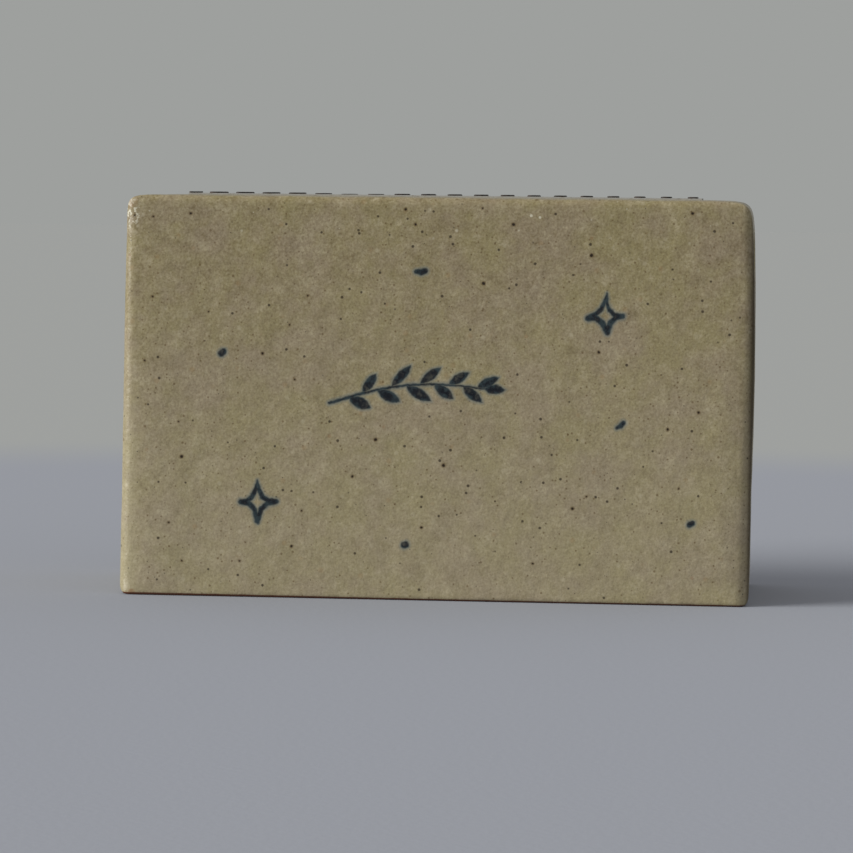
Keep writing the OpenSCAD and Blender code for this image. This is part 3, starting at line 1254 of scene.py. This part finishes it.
    def rows(self) -> tuple[np.ndarray, np.ndarray]:
        """Goes round the whole wall: the outer faces, the right rim, the tunnel and the left rim.

        Returns:
            The points by row, and their depth behind the nearer mouth in millimetres.
        """
        arc, corner = self.end_edge_low * self.arc_share, self.top_edge * self.corner_share
        left, ways = self.row(0, corner, -1, arc, 0)
        right, _ = self.row(0, corner, 1, arc, 0)
        outer = [self.fit(left + (right - left) * share, ways) for share in np.linspace(0, 1, self.stations)]
        right_rim, left_rim = self.rim(1), self.rim(-1)
        from_right, to_left = right_rim[-1], left_rim[-1]
        steps = (1 - np.cos(np.linspace(0, math.pi, self.inner_stations))) / 2
        inner = [from_right + (to_left - from_right) * s for s in steps[1:-1]]
        points = np.stack(outer + right_rim + inner + left_rim[::-1])
        reach = np.minimum(from_right[:, 0] - points[..., 0], points[..., 0] - to_left[:, 0])
        start = len(outer) + len(right_rim)
        in_tunnel = np.zeros((len(points), 1))
        in_tunnel[start:start + len(inner)] = 1
        return points, reach * in_tunnel

    def skin(self) -> Skin:
        """Joins the rows, softens them and makes them a little uneven, as hand-cut slabs are.

        Returns:
            The tube's surface, which stores how bare it is and where its edges are.
        """
        rows, inward = self.rows()
        skin = Skin(rows, Closing.RING)
        inward = skin.spread(inward)
        x, y, z = skin.points.T
        outer = (inward <= 0).astype(float)
        skin.relax(outer * climb(z, self.soft_from, self.fade) * self.soft_share)
        beside_strip = np.maximum(np.abs(x) - self.strip_half[0], np.abs(y) - self.strip_half[1])
        free = np.where(z > self.height - self.top_skin, climb(beside_strip, 0, self.fade), 1)
        free = free * climb(z, self.foot_flat, self.fade)
        uneven = self.unevenness.at(skin.points) * self.uneven_depth
        uneven = uneven + self.ripples.at(skin.points) * self.ripple_depth
        ends = np.minimum(x - self.left_x(z), self.right_x(z) - x)
        upright = self.end_edge(z)
        sag = climb(self.end_ease - ends, 0, self.end_ease - upright) ** 2
        sag = sag * self.end_sag * (upright / self.end_edge_low) ** 3 * skin.normals()[:, 1] ** 2
        outside = np.minimum(uneven - self.slack, -self.least_slack) * free - sag * free
        skin.push(np.where(inward > 0, uneven * self.tunnel_share, outside))
        low, high = (np.array(corner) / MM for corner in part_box("sleeve"))
        skin.points = np.clip(skin.points, low, high)
        skin.values["edge"] = skin.edges() * outer
        skin.values["bare"] = climb(inward, self.bare_from, self.bare_run)
        return skin

    def build(self) -> None:
        """Makes the sleeve's piece."""
        material = GlazedStoneware("glazed_stoneware", Decoration(), self.burnt_foot).make()
        seat(make_piece("sleeve_shell", [self.skin()], material), "sleeve", "glazed_stoneware", "sleeve")


@dataclass
class Tray:
    """The clay drawer, open towards the painted face."""

    length: float = 66.4
    back_y: float = 9.35
    rim_y: float = -8.8
    foot_z: float = 3.65
    height: float = 35.85
    wall: float = 2.8
    end_wall: float = 3.2
    floor: float = 2.7
    edge: float = 0.9
    rim_edge: float = 0.7
    hollow_corner: float = 1.4
    back_corner: float = 0.5
    floor_edge: float = 0.12
    back_insets: tuple[float, ...] = (14, 10, 6.5, 4, 2.2)
    side_steps: int = 18
    hollow_steps: int = 16
    floor_insets: tuple[float, ...] = (0.12, 1.2, 3, 5.5, 9, 12)
    sway: float = 0.03
    slide_from: Pair = (0.6, 0.8)
    slide_run: float = 1.2
    loop: RoundLoop = RoundLoop(across=72, up=38, arc=5)
    slack: float = 0.03
    unevenness: Wobble = field(default_factory=lambda: Wobble(21, 5, 22))

    def row(self, inset_x: float, inset_z: float, y: float, radius: float) -> np.ndarray:
        """One row of points round the tray.

        Args:
            inset_x: How far it runs inside the end faces.
            inset_z: How far it runs inside the top and foot faces.
            y: Where it lies through the depth.
            radius: The radius of its corners.

        Returns:
            The points.
        """
        flat, _ = self.loop.trace(self.length / 2 - inset_x, self.height / 2 - inset_z, radius)
        flat[:, 1] += self.foot_z + self.height / 2
        return stand(flat, 1, y)

    def outer_rows(self) -> list[np.ndarray]:
        """Goes from the middle of the back over the sides to the rim's inner edge.

        Returns:
            The points of each row.
        """
        edge, back, rim = self.loop.quarter(self.edge), self.back_y, self.rim_y
        sides = np.linspace(back - self.edge, rim + self.edge, self.side_steps)[1:]
        rows = [self.row(i, i, back, self.back_corner) for i in (self.height / 2, *self.back_insets)]
        rows += [self.row(inset, inset, back - aside, self.edge) for inset, aside in edge[::-1]]
        rows += [self.row(0, 0, y, self.edge) for y in sides]
        rows += [self.row(inset, inset, rim + aside, self.edge) for inset, aside in edge[1:]]
        for deep, aside in self.loop.quarter(self.rim_edge):
            inset = self.wall - aside
            rows.append(self.row(inset * (self.end_wall / self.wall), inset, rim + deep, self.hollow_corner))
        return rows

    def inner_rows(self) -> list[np.ndarray]:
        """Goes down the hollow's sides to the middle of its floor.

        Returns:
            The points of each row.
        """
        floor_y = self.back_y - self.floor
        sides = np.linspace(self.rim_y + self.rim_edge, floor_y - self.floor_edge, self.hollow_steps)[1:]
        rows = [self.row(self.end_wall, self.wall, y, self.hollow_corner) for y in sides]
        for inset in (*self.floor_insets, self.height / 2 - self.wall):
            rows.append(self.row(self.end_wall + inset, self.wall + inset, floor_y, self.hollow_corner))
        return rows

    def skin(self) -> Skin:
        """Joins the rows and makes them a little uneven.

        Returns:
            The tray's surface, which stores how bare it is and where its edges are.
        """
        outer, inner = self.outer_rows(), self.inner_rows()
        skin = Skin(np.stack(outer + inner), Closing.FOLDED)
        in_hollow = np.repeat([0, 1], [len(outer), len(inner)])
        inside = skin.spread(np.repeat(in_hollow, len(outer[0]))) > 0
        x, y, _ = skin.points.T
        uneven = self.unevenness.at(skin.points)
        skin.push(np.where(inside, -self.sway * (1 + uneven), self.sway * uneven - self.slack))
        skin.values["edge"] = skin.edges()
        behind_end = self.length / 2 - np.abs(x)
        slides = climb(behind_end, self.slide_from[0], self.slide_run)
        slides = slides * climb(y - self.rim_y, self.slide_from[1], self.slide_run)
        skin.values["bare"] = np.where(inside, 0, slides)
        return skin

    def build(self) -> None:
        """Makes the tray's piece."""
        material = GlazedStoneware("tray_stoneware").make()
        seat(make_piece("tray_shell", [self.skin()], material), "tray", "tray_stoneware", "tray")


@dataclass
class StrikingStrip:
    """The self-adhesive striking strip: film, paper and printed blocks of compound.

    The profile of a block is how far each of its levels lies inside its outline, and the level.
    """

    length: float = 56.6
    width: float = 9.0
    shift: float = 0.1
    block_pitch: float = 2.93
    block_l: float = 1.08
    row_pitch: float = 3.0
    block_w: float = 2.4
    first_gap_share: float = 0.46
    block_corner: float = 0.28
    shortest_block: float = 0.2
    profile: tuple[Pair, ...] = ((0.06, 0), (0, 0.35), (0.03, 0.8), (0.12, 1), (0.3, 1), (0.6, 1))
    contact: float = 0.001
    grit_depth: float = 0.02
    ragged_share: float = 0.05
    worn_x: float = -10.0
    worn_half: float = 4.0
    worn_depth: float = 0.09
    loop: RoundLoop = RoundLoop(across=4, up=5, arc=2)
    unevenness: Wobble = field(default_factory=lambda: Wobble(31, 0.35, 1.4, 24))

    def block(self, low: Vector, high: Vector, foot: float, top: float) -> Skin:
        """One printed block.

        Args:
            low: Its front left corner.
            high: Its back right corner.
            foot: The paper's surface.
            top: The highest that the compound may stand.

        Returns:
            The block's closed surface, with a ragged edge and a gritty top.
        """
        half, centre = (high - low) / 2, (high + low) / 2
        rows = []
        least = min(half)
        top -= self.worn_depth * math.exp(-(((centre.x - self.worn_x) / self.worn_half) ** 2))
        for inset, level in ((least, 0), *self.profile, (least, 1)):
            inset = min(inset, least)
            flat, _ = self.loop.trace(half.x - inset, half.y - inset, self.block_corner)
            rows.append(stand(flat + np.array(centre), 2, foot + (top - foot) * level))
        skin = Skin(np.stack(rows), Closing.FOLDED)
        grit = self.unevenness.share(skin.points)
        raised = skin.points[:, 2] > foot + self.contact
        skin.points[:, 2] -= np.where(raised, grit * self.grit_depth, 0)
        inwards = np.array(centre) - skin.points[:, :2]
        skin.points[:, :2] += inwards * (raised * grit * self.ragged_share)[:, None]
        return skin

    def blocks(self) -> list[Skin]:
        """Prints the rows of blocks and cuts them at the strip's ends.

        Returns:
            All the blocks, each a closed surface.
        """
        foot, top = (corner.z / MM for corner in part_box("striker_coating"))
        half, aside = self.length / 2, Vector((self.shift, 0))
        gap = self.block_pitch - self.block_l
        first = -half + self.first_gap_share * self.block_pitch + gap / 2 - self.block_pitch
        made = []
        for row in range(math.ceil(self.width / self.row_pitch)):
            for column in range(math.ceil(self.length / self.block_pitch) + 2):
                x, y = first + column * self.block_pitch, -self.width / 2 + row * self.row_pitch
                low = Vector((max(x, -half), y))
                high = Vector((min(x + self.block_l, half), y + self.block_w))
                if high.x - low.x > self.shortest_block:
                    made.append(self.block(low + aside, high + aside, foot, top))
        return made

    def build(self) -> None:
        """Makes the blocks' piece and dresses the film and the paper."""
        piece = make_piece("striking_blocks", self.blocks(), StrikingCompound().make())
        seat(piece, "sleeve", "striking_compound", "striker_coating")
        for node, finish in (("striker_adhesive", StripFilm()), ("striker_paper", StripPaper())):
            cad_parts[node].data.materials.clear()
            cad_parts[node].data.materials.append(finish.make())
            LOG.info("%s is dressed", node)


@dataclass
class MatchPile:
    """The matches that lie in the tray, each a split wooden splint with a dipped head.

    The shares of a head are places along it, each with how wide it is there.
    """

    splint_l: float = 47.0
    splint_w: float = 1.9
    head_d: float = 3.0
    head_l: float = 4.6
    head_tip: float = 0.9
    loop: RoundLoop = RoundLoop(across=2, up=2, arc=2)
    head_shares: tuple[Pair, ...] = (
        (0.06, 0.0), (0.02, 0.45), (0.0, 0.78), (0.02, 0.88), (0.06, 0.925), (0.14, 0.955), (0.25, 0.985),
        (0.36, 1.0), (0.47, 1.0), (0.58, 0.98), (0.67, 0.94), (0.75, 0.885), (0.82, 0.795), (0.88, 0.68),
        (0.93, 0.53), (0.97, 0.345), (0.99, 0.19), (1.0, 0.0),
    )
    round_points: int = 28
    skirt_power: float = 5
    skirt_share: float = 0.45
    skirt_blend: float = 0.7
    lumps: Pair = (0.9, 3.2)
    lump_share: float = 0.055
    grit: Pair = (0.35, 0.8)
    grit_share: float = 0.02
    splint_corner: float = 0.13
    end_round: float = 0.06
    end_back: float = 0.12
    body_from: float = 0.8
    body_rows: int = 34
    cut: Pair = (0.05, 0.4)
    bow: Pair = (3, 30)
    bow_stretch: tuple[float, float, float] = (1, 6, 6)
    bow_depth: float = 0.022
    shrink: float = 0.024
    first_seed: int = 500

    def lie(self, node: str) -> tuple[np.ndarray, np.ndarray]:
        """Finds how a match lies.

        Args:
            node: Its splint's solid.

        Returns:
            The middle of its tail in millimetres, and the rows of a matrix with its three axes.
        """
        corners = np.array([v.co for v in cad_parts[node].data.vertices]) / MM
        near = corners[:, 0] < corners[:, 0].mean()
        tail, tip = corners[near].mean(axis=0), corners[~near].mean(axis=0)
        ahead = (tip - tail) / np.linalg.norm(tip - tail)
        beside = np.cross([0, 0, 1], ahead)
        beside = beside / np.linalg.norm(beside)
        return tail, np.stack([ahead, beside, np.cross(ahead, beside)])

    def splint(self, tail: np.ndarray, axes: np.ndarray, draw: random.Random) -> Skin:
        """One splint, split a little unevenly and slightly bowed.

        Args:
            tail: The middle of its splint's tail.
            axes: Its three axes.
            draw: The match's own random draws.

        Returns:
            The splint's surface, which stores the share of its length and its tone.
        """
        half = self.splint_w / 2
        rows = []
        cut = draw.uniform(*self.cut)
        ends = [(0.0, half), (0.0, half * 0.5), (0.0, self.end_round), (self.end_back, 0.0)]
        first = self.body_from
        body = [(x, 0.0) for x in np.linspace(first, self.splint_l - first, self.body_rows)]
        far = [(self.splint_l - x, inset) for x, inset in ends[::-1]]
        for x, inset in ends + body + far:
            flat, _ = self.loop.trace(half - inset, half - inset, self.splint_corner)
            slant = np.where(x < 1, cut * flat[:, 1] / self.splint_w + cut / 2, 0) * (1 - min(x, 1))
            rows.append(stand(flat, 0, x + slant))
        skin = Skin(np.stack(rows), Closing.FOLDED)
        share = skin.points[:, 0] / self.splint_l
        bow = Wobble(draw.randrange(SEEDS), *self.bow).at(skin.points * self.bow_stretch)
        skin.points[:, 1:] *= (1 - (bow * self.bow_depth + self.shrink) / half)[:, None]
        skin.points = tail + skin.points @ axes
        skin.values["along"] = share
        skin.values["tone"] = np.full(len(share), draw.random())
        return skin

    def head(self, tail: np.ndarray, axes: np.ndarray, draw: random.Random) -> Skin:
        """One dipped head: square at its skirt, where it follows the splint, and round ahead of it.

        Args:
            tail: The middle of its splint's tail.
            axes: Its three axes.
            draw: The match's own random draws.

        Returns:
            The head's surface.
        """
        angle = np.linspace(0, math.tau, self.round_points, endpoint=False) + math.pi / self.round_points
        way = np.stack([np.cos(angle), np.sin(angle)], axis=1)
        squarer = 1 / (np.abs(way) ** self.skirt_power).sum(axis=1) ** (1 / self.skirt_power)
        squarer = squarer / squarer.max()
        start = self.splint_l + self.head_tip - self.head_l
        rows = []
        for share, wide in self.head_shares:
            roundness = min(share / self.skirt_share, 1) ** self.skirt_blend
            radius = wide * self.head_d / 2 * (squarer + (1 - squarer) * roundness)
            rows.append(stand(way * radius[:, None], 0, start + share * self.head_l))
        skin = Skin(np.stack(rows), Closing.FOLDED)
        lumps = Wobble(draw.randrange(SEEDS), *self.lumps).share(skin.points)
        grit = Wobble(draw.randrange(SEEDS), *self.grit).share(skin.points)
        skin.points[:, 1:] *= (1 - self.lump_share * lumps - self.grit_share * grit)[:, None]
        skin.points = tail + skin.points @ axes
        return skin

    def build(self) -> None:
        """Makes a splint and a head for each match."""
        wood, dip = SplintWood().make(), HeadCompound().make()
        prefix = "match_splint_"
        for number in sorted(n.removeprefix(prefix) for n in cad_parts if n.startswith(prefix)):
            draw = random.Random(int(number) + self.first_seed)
            tail, axes = self.lie(prefix + number)
            splint = make_piece(f"splint_{number}", [self.splint(tail, axes, draw)], wood)
            seat(splint, "tray", "splint_wood", prefix + number)
            head = make_piece(f"head_{number}", [self.head(tail, axes, draw)], dip)
            seat(head, "tray", "head_compound", f"match_head_{number}")


# Studio

@dataclass(frozen=True)
class Lamp:
    """A wide soft lamp far away: the way towards it, its strength, its breadth in degrees and its tint."""

    name: str
    toward: tuple[float, float, float]
    strength: float
    breadth: float
    tint: tuple[float, float, float]

    def build(self) -> None:
        """Makes the lamp."""
        light = bpy.data.lights.new(self.name, "SUN")
        light.energy = self.strength
        light.angle = math.radians(self.breadth)
        light.color = self.tint
        lamp = bpy.data.objects.new(self.name, light)
        lamp.rotation_mode = "QUATERNION"
        lamp.rotation_quaternion = Vector(self.toward).to_track_quat("Z", "Y")
        bpy.context.scene.collection.objects.link(lamp)


@dataclass
class Studio:
    """The floor, the light and the camera."""

    floor_radius: float = 4000.0
    floor_rings: int = 40
    floor_points: int = 96
    floor_spread: float = 2.2
    lamp: Lamp = Lamp("window", (-0.861, -0.365, 0.353), 4.1, 35.0, (1.0, 0.99, 0.97))
    sky: Rgba = linear(158, 160, 158)
    ambient: Rgba = (0.52, 0.52, 0.5408, 1.0)
    camera_place: tuple[float, float, float] = (36.0, -432.43, 44.6)
    yaw: float = 5.011
    pitch: float = 3.487
    roll: float = 0.666
    focus_px: float = 3900.0
    frame_px: float = 853.0
    sensor: float = 36.0

    def floor(self) -> None:
        """Makes the floor, a wide flat disc."""
        count = self.floor_points
        turn = np.linspace(0, math.tau, count, endpoint=False)
        shares = np.linspace(0, 1, self.floor_rings + 1)[1:]
        reach = self.floor_radius * (shares ** self.floor_spread) * MM
        points = [(0.0, 0.0, 0.0)] + [(r * math.cos(a), r * math.sin(a), 0.0) for r in reach for a in turn]
        faces: list[tuple[int, ...]] = [(0, 1 + i, 1 + (i + 1) % count) for i in range(count)]
        for ring in range(self.floor_rings - 1):
            near, far = 1 + ring * count, 1 + (ring + 1) * count
            faces += [(near + i, far + i, far + (i + 1) % count, near + (i + 1) % count) for i in range(count)]
        mesh = bpy.data.meshes.new("floor")
        mesh.from_pydata(points, [], faces)
        mesh.materials.append(StudioPaper().make())
        floor = bpy.data.objects.new("floor", mesh)
        bpy.context.scene.collection.objects.link(floor)

    def world(self) -> None:
        """Lights all sides a little, and shows a plain pale background to the camera and in gloss."""
        world = bpy.data.worlds.new("studio")
        bpy.context.scene.world = world
        shade = Shade(world)
        path = shade.node("ShaderNodeLightPath", {}, {})
        kinds = ("Is Camera Ray", "Is Glossy Ray", "Is Transmission Ray")
        seen = reduce(Sig.most, (Sig(shade, path.outputs[kind]) for kind in kinds))
        sockets = {"Color": shade.mix(self.ambient, self.sky, seen), "Strength": 1.0}
        background = shade.node("ShaderNodeBackground", {}, sockets)
        shade.node("ShaderNodeOutputWorld", {}, {"Surface": background.outputs[0]})

    def camera(self) -> None:
        """Sets the camera where the photograph was taken from."""
        yaw, pitch, roll = (math.radians(a) for a in (self.yaw, self.pitch, self.roll))
        ahead = Vector((-math.sin(yaw) * math.cos(pitch), math.cos(yaw) * math.cos(pitch), -math.sin(pitch)))
        right = ahead.cross(Vector((0, 0, 1))).normalized()
        up = right.cross(ahead)
        right, up = (
            right * math.cos(roll) + up * math.sin(roll),
            up * math.cos(roll) - right * math.sin(roll),
        )
        data = bpy.data.cameras.new("camera")
        data.sensor_width = self.sensor
        data.lens = self.focus_px * self.sensor / self.frame_px
        camera = bpy.data.objects.new("camera", data)
        turned = Matrix((right, up, -ahead)).transposed().to_4x4()
        camera.matrix_world = Matrix.Translation(Vector(self.camera_place) * MM) @ turned
        bpy.context.scene.collection.objects.link(camera)
        bpy.context.scene.camera = camera

    def build(self) -> None:
        """Makes the whole studio."""
        self.floor()
        self.world()
        self.lamp.build()
        self.camera()
        bpy.context.scene.view_settings.view_transform = "Standard"
        LOG.info("the studio is lit by the %s", self.lamp.name)


def main() -> None:
    """Builds the sub-assemblies in order."""
    logging.basicConfig(level=logging.INFO, format="%(name)s: %(message)s")
    for assembly in (Sleeve(), Tray(), StrikingStrip(), MatchPile(), Studio()):
        assembly.build()


if __name__ == "__main__":
    main()
